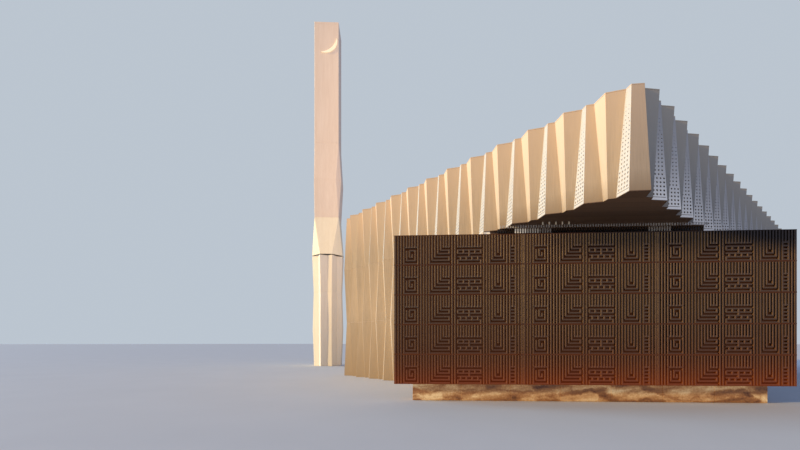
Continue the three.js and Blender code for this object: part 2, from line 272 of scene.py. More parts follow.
class Shader:
    """A material whose graph is written in Python."""

    def __init__(self, name, **surface):
        self.material = bpy.data.materials.new(name)
        self.material.use_nodes = True
        self.tree = self.material.node_tree
        self.tree.nodes.clear()
        self.surface = self.tree.nodes.new("ShaderNodeBsdfPrincipled")
        output = self.tree.nodes.new("ShaderNodeOutputMaterial")
        self.tree.links.new(self.surface.outputs[0], output.inputs[0])
        self.set(**surface)

    def node(self, kind, settings=None, inputs=None, output=0):
        """Adds a node: its settings first, then its sockets, and gives back one of its outputs."""
        node = self.tree.nodes.new(kind)
        for key, value in (settings or {}).items():
            if key == "stops":
                self.set_stops(node.color_ramp, value)
            else:
                setattr(node, key, value)
        for key, value in (inputs or {}).items():
            self.plug(node.inputs[key], value)
        return Wire(self, node.outputs[output])

    def plug(self, socket, value):
        if isinstance(value, Wire):
            self.tree.links.new(value.socket, socket)
        else:
            socket.default_value = value

    def set_stops(self, ramp, stops):
        while len(ramp.elements) < len(stops):
            ramp.elements.new(0.5)
        for element, (place, colour) in zip(ramp.elements, stops):
            element.position = place
            element.color = colour

    def set(self, **sockets):
        """Fills sockets of the surface: Base_Color=... goes into "Base Color"."""
        for name, value in sockets.items():
            self.plug(self.surface.inputs[name.replace("_", " ")], value)

    def math(self, operation, *values):
        return self.node("ShaderNodeMath", {"operation": operation}, dict(enumerate(values)))

    def place(self):
        """The place on the object, in metres."""
        return self.node("ShaderNodeTexCoord", output="Object")

    def stretched(self, place, scale):
        settings = {"operation": "MULTIPLY"}
        return self.node("ShaderNodeVectorMath", settings, {0: place, 1: scale})

    def axis(self, place, axis):
        return self.node("ShaderNodeSeparateXYZ", None, {0: place}, output=axis)

    def span(self, value, start, end):
        """Runs from 0 at start to 1 at end, and stays level beyond them."""
        return self.node("ShaderNodeMapRange", None, {"Value": value, "From Min": start, "From Max": end})

    def noise(self, place, scale, detail=3):
        inputs = {"Vector": place, "Scale": scale, "Detail": detail}
        return self.node("ShaderNodeTexNoise", None, inputs)

    def ramp(self, value, *stops):
        return self.node("ShaderNodeValToRGB", {"stops": stops}, {"Fac": value})

    def mix(self, share, first, second):
        inputs = {0: share, MIX_FIRST: first, MIX_SECOND: second}
        return self.node("ShaderNodeMix", {"data_type": "RGBA"}, inputs, output=MIX_RESULT)

    def bump(self, height, distance, strength=1.0):
        inputs = {"Height": height, "Distance": distance, "Strength": strength}
        self.plug(self.surface.inputs["Normal"], self.node("ShaderNodeBump", None, inputs))


def paint(red, green, blue):
    """A colour from the 0 to 255 values of a picture, as the linear light that shaders use."""
    def linear(value):
        share = value / 255
        return share / 12.92 if share <= 0.04045 else ((share + 0.055) / 1.055) ** 2.4
    return (linear(red), linear(green), linear(blue), 1)


BLACK = paint(0, 0, 0)
print("shader helper ready, a middle grey is", rounded(paint(128, 128, 128)))

# %% [markdown]
# ## Painted light and shade on the walls
# They follow height. Painted light makes the head of the walls paler, painted shade darkens them near the
# ground, and more painted shade lies along the edge over the cut-away. Each is a Map Range over height.
# Only the part that hangs over the cut-away gets that edge, so its mask is multiplied by another, over the
# distance from the cut. Painted masks could hold the same, but a rule of height fits every wall at once.

# %% Painted light at the head, painted shade at the foot and over the cut-away
# Reaches of the painted light at the head and of the painted shade at the ground and over the cut-away
HEAD_LIGHT_REACH = 2.4
HEAD_LIGHT_SHARE = 0.9
GROUND_SHADE_REACH = 3.3
CUT_SHADE_REACH = 0.6
CUT_SHADE_FADE = 0.3
SHADE_TINT = (0.92, 0.86, 0.79)


def paint_light_and_shade(shader, place, colour, dark, paler_head):
    """Painted light at the head, and painted shade near the ground and along the edge over the cut-away."""
    height = shader.axis(place, "Z")
    head = shader.span(height, HALL_HIGH.z - HEAD_LIGHT_REACH, HALL_HIGH.z)
    colour = shader.mix(head * HEAD_LIGHT_SHARE, colour, paler_head)
    beyond = shader.axis(place, "X") * SKEW_BEHIND.x + shader.axis(place, "Y") * SKEW_BEHIND.y
    ahead = shader.span(CUT_LINE.dot(SKEW_BEHIND) - beyond, 0.0, CUT_SHADE_FADE)
    cut_edge_shade = shader.span(height, TOP_FOOT + CUT_SHADE_REACH, TOP_FOOT) * ahead
    ground_shade = shader.span(height, GROUND_SHADE_REACH, 0.0)
    shaded_colour = tuple(value * tint for value, tint in zip(dark, SHADE_TINT)) + (1,)
    return shader.mix(shader.math("MAXIMUM", cut_edge_shade, ground_shade), colour, shaded_colour)


# Where the painted light at the head starts, and how high the painted shade reaches from the ground
print("bleached from", round(HALL_HIGH.z - HEAD_LIGHT_REACH, 2), "m up, shaded_foot to", GROUND_SHADE_REACH, "m")

# %% [markdown]
# ## The folded skin's finish
# The skin is made of pale mineral panels. Seen close they have a fine upright grain from casting, each
# panel is a shade lighter or darker than its neighbour, and rain has left soft streaks. The grain is
# noise stretched along Z. The tone for each panel is Random Per Island, which gives every loose plate
# of a joined mesh its own number, so no panel needs a material of its own. Hidden lamps on a ledge wash
# the foot of some plates, and an emission that fades with height stands for them.

# %% Mineral panels
GRAIN = (38, 38, 1.1)
GRAIN_SHARE = 0.42
STREAKS = (5, 5, 0.35)
STREAK_SHARE = 0.38
CLOUDS = 0.55
CLOUD_SHARE = 0.30
RELIEF = 0.0025
WASH_REACH = 2.3
WASH_COLOUR = (0.86, 0.88, 0.97, 1)
WASH_ALONG = (3.0, -8.5)


def mineral(name, light, dark, tone=0.10, roughness=0.62, glow=0.0, wash=0.0, paler_head=None):
    """A cast panel. It may get painted light and shade by height, a painted glow or a painted lamp wash."""
    shader = Shader(name, IOR=1.45)
    place = shader.place()
    grain = shader.noise(shader.stretched(place, GRAIN), 1.0, 4)
    streaks = shader.noise(shader.stretched(place, STREAKS), 1.0, 2)
    clouds = shader.noise(place, CLOUDS, 4)
    island = shader.node("ShaderNodeNewGeometry", output="Random Per Island")
    lines = shader.span(grain, 0.3, 0.7) * GRAIN_SHARE + shader.span(streaks, 0.25, 0.75) * STREAK_SHARE
    share = lines + clouds * CLOUD_SHARE + island * (2 * tone) - tone
    colour = shader.mix(share, dark, light)
    if paler_head:
        colour = paint_light_and_shade(shader, place, colour, dark, paler_head)
    shader.set(Base_Color=colour, Roughness=roughness + grain * 0.12)
    shader.bump(grain + clouds * 0.4, RELIEF)
    if glow:
        shader.set(Emission_Color=light, Emission_Strength=glow)
    if wash:
        near = shader.span(shader.axis(place, "Z"), TOP_FOOT + WASH_REACH, TOP_FOOT)
        near = near * near * shader.span(shader.axis(place, "Y"), *WASH_ALONG)
        shader.set(Emission_Color=shader.mix(near, BLACK, WASH_COLOUR), Emission_Strength=wash)
    return shader.material


# The paler colour given last to a panel is the painted light at the head of the walls.
PANEL = mineral("folded_panel", paint(206, 184, 158), paint(171, 152, 129), paler_head=paint(220, 192, 164))
# Painted shade: the far wall's panel is a darker, cooler copy of the same panel.
SHADED_PANEL = mineral(
    "folded_panel_in_shade", paint(179, 172, 160), paint(147, 140, 131), paler_head=paint(196, 182, 162)
)
PERFORATED = mineral("perforated_panel", paint(203, 199, 194), paint(186, 181, 175), tone=0.05)
WASHED = mineral("washed_perforated_panel", paint(210, 202, 194), paint(188, 180, 171), 0.05, wash=0.24)
# Painted light: the wall behind the sunny panels glows, in place of light bouncing in the cavity.
CORE = mineral("wall_behind_panels", paint(222, 206, 186), paint(196, 180, 160), tone=0.02, glow=0.62)
# Painted shade: the far wall's copy of it is darker and cooler.
SHADED_CORE = mineral("shaded_wall_behind_panels", paint(124, 113, 104), paint(98, 89, 81), tone=0.02)
INSIDE = mineral("hall_plaster", paint(206, 198, 186), paint(190, 180, 168), tone=0.02, roughness=0.8)
print("panel materials:", PANEL.name, PERFORATED.name, CORE.name, INSIDE.name)

# %% [markdown]
# ## Bronze
# The screen and the frames are dark bronze, a brown metal with a satin finish that has dulled unevenly.
# The foot of the screen is lit from the plinth below it, so the bronze there is warm and glows orange.
# That glow is an emission that fades with height, which costs far less than hundreds of small lamps.
# Under the prow, the head of the screen is darker: a painted shadow of the overhang.

# %% Bronze materials
SCREEN_FOOT, SCREEN_TOP = screen_low.z, screen_high.z
PATINA = 3.1
BRUSHING = (90, 90, 6)
GLOW_REACH = 1.25
GLOW_COLOUR = paint(255, 104, 24)
WARM_REACH = 2.2
WARMED = paint(104, 54, 26)
# Painted shadow of the prow on the head of the screen: its colour, its depth and where it lies along X
PROW_SHADOW_COLOUR = paint(46, 38, 34)
PROW_SHADOW_DEPTH = 0.75
PROW_SHADOW_SIDE = (4.6, 6.2)
# Painted light: the backing in the gaps of the lattice glows a little warm.
EMBER = (0.48, 0.14, 0.03, 1)


def bronze(name, light, dark, glow=0.0, metallic=0.3, shine=0.5, ember=BLACK):
    """Brushed bronze. Where it glows it is warm at the foot, and has a painted shadow at its head under the
    prow.
    """
    shader = Shader(name, Metallic=metallic, Specular_IOR_Level=shine)
    place = shader.place()
    patina = shader.noise(place, PATINA, 5)
    brushed = shader.noise(shader.stretched(place, BRUSHING), 1.0, 2)
    colour = shader.mix(patina * 0.75 + brushed * 0.3, dark, light)
    if glow:
        # Painted light from the plinth: a warmer colour and an orange glow at the foot.
        height = shader.axis(place, "Z")
        low = shader.span(height, SCREEN_FOOT + GLOW_REACH, SCREEN_FOOT)
        warm = shader.span(height, SCREEN_FOOT + WARM_REACH, SCREEN_FOOT)
        # Painted shadow of the prow: the head is darker there, and the backing's warm glow stops.
        beside = shader.span(shader.axis(place, "X"), *PROW_SHADOW_SIDE)
        under_prow = shader.span(height, SCREEN_TOP - PROW_SHADOW_DEPTH, SCREEN_TOP - PROW_SHADOW_DEPTH / 3) * beside
        colour = shader.mix(under_prow * 0.8, shader.mix(warm * 0.8, colour, WARMED), PROW_SHADOW_COLOUR)
        glimmer = shader.mix(low * low, shader.mix(under_prow, ember, BLACK), GLOW_COLOUR)
        shader.set(Emission_Color=glimmer, Emission_Strength=glow)
    shader.set(Base_Color=colour, Roughness=0.36 + patina * 0.28)
    shader.bump(brushed, 0.0008)
    return shader.material


BARS = bronze("screen_bronze", paint(113, 87, 64), paint(89, 65, 46), glow=0.09)
BACKING = bronze(
    "screen_backing", paint(74, 38, 17), paint(52, 26, 11), glow=0.06, metallic=0.0, shine=0.15, ember=EMBER
)
FRAMES = bronze("dark_frame", paint(58, 46, 38), paint(36, 28, 23))
print("bronze materials:", BARS.name, BACKING.name, FRAMES.name)

# %% [markdown]
# ## Amber stone
# The plinth is amber stone, thin enough for light to pass. Its veins run level and waver, like smoke.
# A Wave texture makes even bands that look machined, so here one noise is bent by another: the
# second is simply added to the place where the first is read. A ramp turns it into browns and creams,
# and the same colours glow a little.

# %% Amber stone material
VEIN_STOPS = (
    (0.34, paint(82, 44, 20)),
    (0.47, paint(146, 96, 52)),
    (0.55, paint(184, 138, 88)),
    (0.66, paint(226, 192, 140)),
)
VEIN_DRAW = (0.55, 0.55, 2.4)
VEIN_SCALE = 1.6
VEIN_SHARE = 0.86
AMBER_GLOW = 0.37


def amber_stone():
    shader = Shader("amber_stone", Roughness=0.18, Coat_Weight=0.3)
    place = shader.place()
    bend = shader.noise(place, 1.3, 5)
    drawn = shader.stretched(place, VEIN_DRAW)
    bent = shader.node("ShaderNodeVectorMath", {"operation": "ADD"}, {0: drawn, 1: bend})
    veins = shader.noise(bent, VEIN_SCALE, 7)
    fine = shader.noise(place, 21, 4)
    colour = shader.ramp(veins * VEIN_SHARE + fine * (1 - VEIN_SHARE), *VEIN_STOPS)
    shader.set(Base_Color=colour, Emission_Color=colour, Emission_Strength=AMBER_GLOW)
    shader.bump(fine, 0.001)
    return shader.material


AMBER = amber_stone()
print("stone:", AMBER.name, "with", len(VEIN_STOPS), "colours")

# %% [markdown]
# ## Glass and laid surfaces
# The entrance has grey tinted panes, never quite flat. The soffit is boarded, the roof has a sheet in
# long strips, and the floor has square slabs. All three are one pattern, tiles with open joints: the
# distance to the nearest joint comes from a ping-pong of each axis, and the number of a tile, rounded
# down, seeds its tone. A Brick texture would also do, but these sums show how such a pattern is made,
# and they leave the line of the joints at hand for the relief.

# %% Glass, soffit, roof and floor
def tinted_glass():
    shader = Shader("tinted_glass", Roughness=0.03, IOR=1.5, Transmission_Weight=0.85)
    ripple = shader.noise(shader.place(), 0.9, 2)
    shader.set(Base_Color=shader.mix(ripple, paint(44, 44, 46), paint(62, 60, 60)))
    shader.bump(ripple, 0.002)
    return shader.material


def jointed(name, light, dark, tile, joint=0.012, roughness=0.7, turn=0.0, glow=0.0):
    """A laid surface: rectangular tiles of one size, each with its own tone, with open joints."""
    shader = Shader(name)
    mapping = shader.node("ShaderNodeMapping", None, {"Vector": shader.place(), "Rotation": (0, 0, turn)})
    axes = [shader.axis(mapping, axis) for axis in "XY"]
    near = [shader.math("PINGPONG", axis, size / 2) for axis, size in zip(axes, tile)]
    line = shader.math("MINIMUM", *near) < joint / 2
    cells = [shader.math("FLOOR", axis / size) for axis, size in zip(axes, tile)]
    cell = shader.node("ShaderNodeCombineXYZ", None, {0: cells[0], 1: cells[1]})
    tone = shader.node("ShaderNodeTexWhiteNoise", None, {"Vector": cell})
    grit = shader.noise(shader.place(), 14, 5)
    body = shader.mix(tone * 0.45 + grit * 0.55, dark, light)
    joint_colour = tuple(value * 0.35 for value in dark[:3]) + (1,)
    shader.set(Base_Color=shader.mix(line, body, joint_colour), Roughness=roughness + grit * 0.2)
    shader.bump(grit * 0.15 - line, 0.006)
    if glow:
        shader.set(Emission_Color=body, Emission_Strength=glow)
    return shader.material


GLASS = tinted_glass()
# Painted light: the boarded soffit, and the boards under the walls, glow faintly.
SOFFIT = jointed(
    "dark_soffit",
    paint(120, 92, 70),
    paint(94, 70, 53),
    tile=(30, 0.40),
    roughness=0.45,
    turn=-SKEW_TURN,
    glow=0.045,
)
ROOF = jointed("roof_finish", paint(190, 182, 170), paint(166, 158, 146), (1.05, 8.0), 0.02, 0.8)
FLOOR = jointed("floor_stone", paint(158, 148, 136), paint(128, 118, 108), (0.9, 0.9), 0.006, 0.45)
print("materials:", GLASS.name, SOFFIT.name, ROOF.name, FLOOR.name)

# %% The finishes of a wall
# Each wall is one mesh. Its faces name their finish by number, and the far wall's set has painted shade.
PLAIN, PIERCED, BEHIND, PLASTER, BOARDS = range(5)
SUNNY_WALL = [PANEL, PERFORATED, CORE, INSIDE, SOFFIT]
SHADED_WALL = [SHADED_PANEL, WASHED, SHADED_CORE, INSIDE, SOFFIT]
print("a wall has", len(SUNNY_WALL), "finishes")

# %% [markdown]
# ## Joining many small solids
# The walls need hundreds of plates and the screen thousands of bars. As separate objects they would be
# slow and hard to keep, so a small collector gathers corners and faces and makes one mesh of them. An
# Array modifier or Geometry Nodes could repeat a shape too, but here every plate is placed by the fold
# that it lies on, which is easier in code.

# %% The mesh collector
class Heap:
    """Corners and faces of many solids, made into one object at the end."""

    def __init__(self):
        self.corners = []
        self.faces = []
        self.finishes = []
        self.count = 0

    def add(self, corners, faces, finish=0):
        """Adds a solid, with one finish for all its faces or a list of one for each."""
        corners = np.asarray(corners, float)
        self.corners.append(corners)
        self.faces += [[i + self.count for i in face] for face in faces]
        self.finishes += finish if isinstance(finish, list) else [finish] * len(faces)
        self.count += len(corners)

    def build(self, name, materials, stands_for=()):
        mesh = bpy.data.meshes.new(name)
        mesh.from_pydata(np.concatenate(self.corners).tolist(), [], self.faces)
        mesh.polygons.foreach_set("material_index", self.finishes)
        for material in materials:
            mesh.materials.append(material)
        work = bmesh.new()
        work.from_mesh(mesh)
        bmesh.ops.recalc_face_normals(work, faces=work.faces)
        work.to_mesh(mesh)
        work.free()
        return settle(bpy.data.objects.new(name, mesh), stands_for)


def settle(piece, stands_for=()):
    """Links a piece, seats it on the one body and hides the solids that it stands for."""
    bpy.context.scene.collection.objects.link(piece)
    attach(piece, ROOT)
    if stands_for:
        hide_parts(*stands_for)
    return piece


def prism_faces(count):
    """The faces of a prism whose corners are a ring of that many below and the same above."""
    sides = [[i, (i + 1) % count, count + (i + 1) % count, count + i] for i in range(count)]
    return sides + [list(range(count))[::-1], list(range(count, 2 * count))]


def loft(lower, upper, low, high):
    """Corners and faces of a solid between two plan outlines at two heights."""
    corners = [(x, y, low) for x, y in lower] + [(x, y, high) for x, y in upper]
    return corners, prism_faces(len(lower))


def prism(outline, low, high):
    return loft(outline, outline, low, high)


def circle(x, y, radius, sides):
    turns = [2 * math.pi * i / sides for i in range(sides)]
    return [(x + radius * math.cos(turn), y + radius * math.sin(turn)) for turn in turns]


print("collector ready, a box has", len(prism_faces(4)), "faces")

# %% [markdown]
# ## The folds
# Every wall is a row of pleats. At one storey line the ridges at the pleat joints are wide and those
# between them narrow, and at the next line it is the other way round, so each flank is a flat panel
# that widens up or down. Because all flanks share one slope, a ridge's width also fixes its depth. The
# functions below give the fold at any storey line, first as distances along and into a wall.

# %% The geometry of a fold
WIDE_HALF = 0.425
NARROW_HALF = PLEAT / 2 - WIDE_HALF
VALLEY_DEPTH = 0.266
SLOPE = VALLEY_DEPTH / WIDE_HALF
SLANT = math.hypot(1, SLOPE)


def joint_half(level):
    """Half the width of the ridges at the pleat joints, at a storey line."""
    return WIDE_HALF if level % 2 == 0 else NARROW_HALF


def ridge_depth(half):
    return VALLEY_DEPTH - SLOPE * half


def fold_line(start, count, level, sunk=0.0):
    """The fold in plan from one pleat joint to another, as (along, depth), sunk behind the surface."""
    half = joint_half(level)
    middle = PLEAT / 2 - half
    line = []
    for pleat in range(count):
        at = start + pleat * PLEAT
        line.append((at, ridge_depth(half)))
        line.append((at + half, VALLEY_DEPTH))
        line.append((at + PLEAT / 2, ridge_depth(middle)))
        line.append((at + PLEAT - half, VALLEY_DEPTH))
    line.append((start + count * PLEAT, ridge_depth(half)))
    return [(along, depth + sunk) for along, depth in line]


print("flank slope", round(SLOPE, 3), "narrow half", round(NARROW_HALF, 3))

# %% Each facade's directions, going round the hall
class Facade:
    """A wall line: its first corner and the ways along it and into it."""

    def __init__(self, name, corner, along, inward):
        self.name = name
        self.corner = Vector(corner)
        self.along = Vector(along)
        self.inward = Vector(inward)
        self.walls = sorted(node for node in NODES if node.startswith(name + "_wall_"))

    def at(self, along, depth):
        """The plan place at a distance along the wall and behind its outermost plane."""
        place = self.corner + self.along * along + self.inward * depth
        return place.x, place.y

    def fold_plan(self, start, pleats, level, sunk=0.0):
        """The plan of a stretch of wall at a storey line: its fold, closed along its inner side."""
        line = fold_line(start, pleats, level, sunk)
        back = [(line[-1][0], WALL_DEPTH), (line[0][0], WALL_DEPTH)]
        return [self.at(along, depth) for along, depth in line + back]

    def span(self, node):
        """Where a wall solid starts and how many pleats it holds."""
        ends = sorted((corner.xy - self.corner).dot(self.along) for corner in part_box(node))
        return ends[0], round((ends[1] - ends[0]) / PLEAT)


FACADES = [
    Facade("front", HALL_LOW.xy, (1, 0), (0, 1)),
    Facade("right", (HALL_HIGH.x, HALL_LOW.y), (0, 1), (-1, 0)),
    Facade("back", HALL_HIGH.xy, (-1, 0), (0, -1)),
    Facade("left", (HALL_LOW.x, HALL_HIGH.y), (0, -1), (1, 0)),
]
print("wall solids:", {facade.name: len(facade.walls) for facade in FACADES})

# %% [markdown]
# ## Plates with open joints
# The skin is a rainscreen: plates stand off the wall with a dark open gap between them, and those gaps
# draw the folds. Every flank is a flat four-sided plate. Its outline is worked out in the flank's own
# plane, across from ridge to valley and up, and drawn in by half a joint along its sides.

# %% The outline of a plate
JOINT = 0.006
PLATE = 0.018
COPING = 0.025


def head_gap(level):
    """The gap over a plate: half a joint, or the coping and its joint in the top storey."""
    return COPING + JOINT if level == TOP_LEVEL else JOINT / 2


def flank_outline(foot, head, low_gap, high_gap):
    """A flank's outline in its own plane, from the half widths of its ridge at the foot and the head."""
    lean = head - foot
    rise = math.hypot(TIER, lean * SLOPE / SLANT)
    low, high = low_gap, rise - high_gap

    def ridge(up):
        return -lean * SLOPE ** 2 / SLANT * up / rise + JOINT / 2

    def valley(up):
        return foot * SLANT + lean / SLANT * up / rise - JOINT / 2

    return [(ridge(low), low), (valley(low), low), (valley(high), high), (ridge(high), high)]


print("a plate is", PLATE, "m thick, with joints of", JOINT, "m")

# %% [markdown]
# ## Perforations
# One flank of each wide-footed ridge in the top storey is perforated. Its holes are large at the foot
# and shrink upwards, and a slot runs below them. They are real holes, so the wall behind shows
# through them. Alpha or a bump would be lighter, but a hole that is only painted has no depth at its
# edge.

# %% Rows of holes
HOLE_SIDES = 8
HOLE_ROW = 0.115
HOLE_PITCH = 0.108
HOLE_LARGE = 0.038
HOLE_SMALL = 0.010
HOLE_EDGE = 0.022
FOOT_BAND = 0.085
FOOT_SLOT = 0.022
FIRST_ROW = 0.6
PERFORATED_SHARE = 0.86


def perforations(outline):
    """A slot above the foot of the plate, and rows of holes that shrink upwards."""
    (left, low), (right, _), (right_top, high), (left_top, _) = outline

    def share(up):
        return (up - low) / (high - low)

    def start(up):
        return left + (left_top - left) * share(up)

    def end(up):
        return right + (right_top - right) * share(up)

    slot_low, slot_high = low + FOOT_BAND, low + FOOT_BAND + FOOT_SLOT
    holes = [[
        (start(slot_low) + HOLE_EDGE, slot_low),
        (end(slot_low) - HOLE_EDGE, slot_low),
        (end(slot_high) - HOLE_EDGE, slot_high),
        (start(slot_high) + HOLE_EDGE, slot_high),
    ]]
    up = slot_high + HOLE_ROW * FIRST_ROW
    while share(up) < PERFORATED_SHARE:
        radius = HOLE_LARGE + (HOLE_SMALL - HOLE_LARGE) * share(up) / PERFORATED_SHARE
        width = end(up) - start(up) - 2 * (HOLE_EDGE + radius)
        count = max(int(width / HOLE_PITCH) + 1, 0)
        first = (start(up) + end(up) - (count - 1) * HOLE_PITCH) / 2
        holes += [circle(first + i * HOLE_PITCH, up, radius, HOLE_SIDES) for i in range(count)]
        up += HOLE_ROW
    return holes


sample = flank_outline(WIDE_HALF, NARROW_HALF, JOINT / 2, head_gap(TOP_LEVEL))
print("a perforated plate has", len(perforations(sample)), "holes")

# %% [markdown]
# ## Cutting the plates
# Blender fills a flat curve that has other closed curves inside it and leaves those as holes, so one
# curve gives a plate with all its perforations, and its extrude gives the thickness. Cutting each hole
# with a Boolean would take minutes. There are only a few kinds of flank, so each is cut once and the
# result is copied to every place that needs it.

# %% Cut one plate of each kind
def cut_plate(outline, holes=()):
    """A flat plate with holes, as corners in its own plane (across, up, outward) and faces."""
    curve = bpy.data.curves.new("plate", "CURVE")
    curve.dimensions = "2D"
    curve.fill_mode = "BOTH"
    curve.extrude = PLATE / 2
    for loop in [outline, *holes]:
        spline = curve.splines.new("POLY")
        spline.points.add(len(loop) - 1)
        for point, (x, y) in zip(spline.points, loop):
            point.co = (x, y, 0, 1)
        spline.use_cyclic_u = True
    template = bpy.data.objects.new("plate", curve)
    mesh = bpy.data.meshes.new_from_object(template)
    corners = np.array([v.co for v in mesh.vertices])
    corners[:, 2] -= PLATE / 2
    faces = [list(p.vertices) for p in mesh.polygons]
    bpy.data.objects.remove(template)
    bpy.data.curves.remove(curve)
    bpy.data.meshes.remove(mesh)
    return corners, faces


def make_plates():
    """One plate for each kind of flank: whether its foot is wide, its storey and its piercing."""
    plates = {}
    for foot, head in ((WIDE_HALF, NARROW_HALF), (NARROW_HALF, WIDE_HALF)):
        for level in range(TIERS):
            outline = flank_outline(foot, head, JOINT / 2, head_gap(level))
            plates[foot > head, level, PLAIN] = cut_plate(outline)
            if foot > head and level == TOP_LEVEL:
                plates[foot > head, level, PIERCED] = cut_plate(outline, perforations(outline))
    return plates


PLATES = make_plates()
print("plates:", {key: len(faces) for key, (corners, faces) in PLATES.items()})

# %% [markdown]
# ## Laying the plates
# Each flank has a frame of its own: the way across it from ridge to valley, the way up it and its
# outward normal. Those three directions and the ridge's foot make a matrix that carries a plate to its
# place. On the other side of a ridge the same plate is mirrored, which also turns its faces inside out,
# so the collector recalculates all normals at the end.

# %% Place a plate on a flank
def lay_plate(heap, facade, ridge, side, level, is_joint, kind):
    """Puts a plate on one flank: the ridge's place along the wall, and side 1 or -1 along it."""
    halves = [joint_half(level), joint_half(level + 1)]
    if not is_joint:
        halves = [PLEAT / 2 - half for half in halves]
    foot, head = halves
    along = facade.along.to_3d()
    inward = facade.inward.to_3d()
    across = (along * side + inward * SLOPE) / SLANT
    valley = along * side * (head - foot) + Vector((0, 0, TIER))
    upward = (valley - across * valley.dot(across)).normalized()
    outward = across.cross(upward) * side
    if outward.dot(inward) > 0:
        outward.negate()
    origin = (*facade.at(ridge, ridge_depth(foot)), level * TIER)
    corners, faces = PLATES[foot > head, level, kind]
    heap.add(corners @ np.array([across, upward, outward]) + np.array(origin), faces, kind)


def hangs(facade, along, level):
    """Whether a place on a wall is in the part that the cut-away leaves out."""
    if level >= CUT_LEVELS:
        return False
    x, y = facade.at(along, 0)
    if facade.name == "front":
        return HALL_HIGH.x - x < CUT_START
    if facade.name == "right":
        return y - HALL_LOW.y < CUT_START
    return False


def lay_wall(heap, facade, start, pleats):
    for level in range(TIERS):
        for step in range(2 * pleats + 1):
            ridge = start + step * PLEAT / 2
            is_joint = step % 2 == 0
            for side in (-1, 1):
                outside = (step == 0 and side < 0) or (step == 2 * pleats and side > 0)
                if outside or hangs(facade, ridge + side * NARROW_HALF, level):
                    continue
                kind = PIERCED if is_joint and side < 0 and level == TOP_LEVEL else PLAIN
                lay_plate(heap, facade, ridge, side, level, is_joint, kind)


trial = Heap()
lay_wall(trial, FACADES[0], *FACADES[0].span("front_wall_3"))
print("a bay of three pleats has", len(trial.corners), "plates")

# %% [markdown]
# ## The wall behind the plates
# Behind the open joints stands the real wall. It follows the same folds, sunk by the depth of the
# cavity. Each storey of it is a loft between two fold lines. Where the corner of the hall is cut away
# the lower storeys are sliced along the cut with bisect_plane, which is quicker and cleaner than a
# Boolean modifier for one flat cut.

# %% Loft the core and slice it
CAVITY = 0.07
TOLERANCE = 1e-3


def slice_at_cut(corners, faces):
    """Keeps the part of a solid that lies behind the line of the cut-away."""
    work = bmesh.new()
    made = [work.verts.new(corner) for corner in corners]
    for face in faces:
        work.faces.new([made[i] for i in face])
    geometry = work.verts[:] + work.edges[:] + work.faces[:]
    bmesh.ops.bisect_plane(
        work, geom=geometry, plane_co=CUT_LINE, plane_no=SKEW_BEHIND, clear_inner=True
    )
    bmesh.ops.holes_fill(work, edges=[e for e in work.edges if e.is_boundary])
    return read_out(work)


def read_out(work):
    """The corners and faces of a bmesh, which is then freed."""
    work.verts.index_update()
    result = [tuple(v.co) for v in work.verts], [[v.index for v in f.verts] for f in work.faces]
    work.free()
    return result


def core_finish(facade, places):
    """Plaster where a face of the core looks into the hall, and boards where the cut-away slices it."""
    if min((place.xy - facade.corner).dot(facade.inward) for place in places) > WALL_DEPTH - TOLERANCE:
        return PLASTER
    if max(abs((place - CUT_LINE).dot(SKEW_BEHIND)) for place in places) < TOLERANCE:
        return BOARDS
    return BEHIND


def add_core(heap, facade, start, pleats, is_cut):
    for level in range(TIERS):
        lower, upper = (facade.fold_plan(start, pleats, line, CAVITY) for line in (level, level + 1))
        high = (level + 1) * TIER - (COPING if level == TOP_LEVEL else 0)
        corners, faces = loft(lower, upper, level * TIER, high)
        if is_cut and level < CUT_LEVELS:
            corners, faces = slice_at_cut(corners, faces)
        if faces:
            places = [Vector(corner) for corner in corners]
            finishes = [core_finish(facade, [places[i] for i in face]) for face in faces]
            heap.add(corners, faces, finishes)


print("core sunk", CAVITY, "m behind the skin")

# %% [markdown]
# ## Building the walls
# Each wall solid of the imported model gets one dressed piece: its plates, the core behind them, a coping
# along its head, and boards under the part that hangs over the cut-away. The coping and the boards are
# flat plates in the plan of the fold. The boards lie a hair below the solids, so that no two faces
# share a plane and flicker.

# %% Build every wall
UNDERSIDE_DROP = 0.003


def build_wall(facade, node):
    start, pleats = facade.span(node)
    joints = [start + i * PLEAT for i in range(pleats)]
    hanging = [at for at in joints if hangs(facade, at + PLEAT / 2, 0)]
    heap = Heap()
    lay_wall(heap, facade, start, pleats)
    add_core(heap, facade, start, pleats, is_cut=bool(hanging))
    coping = facade.fold_plan(start, pleats, TIERS)
    heap.add(*prism(coping, HALL_HIGH.z - COPING, HALL_HIGH.z), PLAIN)
    if hanging:
        boards = facade.fold_plan(hanging[0], len(hanging), CUT_LEVELS)
        low = TOP_FOOT - UNDERSIDE_DROP
        heap.add(*prism(boards, low, low + PLATE), BOARDS)
    materials = SHADED_WALL if facade.name == "right" else SUNNY_WALL
    return heap.build(node + "_skin", materials, [node])


for facade in FACADES:
    for node in facade.walls:
        piece = build_wall(facade, node)
    print(facade.name, "walls:", len(facade.walls), "pieces, last has", len(piece.data.polygons), "faces")

# %% [markdown]
# ## Corner pieces
# Where two walls meet, a chamfer leads from the last ridge of one to the first of the other. It is the
# same idea in small: a plate that narrows and widens with the storeys, before a sunk core. Its plate is
# symmetrical, so its corners can be written down straight from the two ridges.

# %% Build the corners
def corner_plan(before, after, half, sunk=0.0):
    """A corner in plan: the two ends of its chamfer, at ridges of a half width, and its inner corner."""
    turn = (after.corner - before.corner).dot(before.along) - WALL_DEPTH
    depth = ridge_depth(half) + sunk
    return [before.at(turn, depth), after.at(WALL_DEPTH, depth), before.at(turn, WALL_DEPTH)]


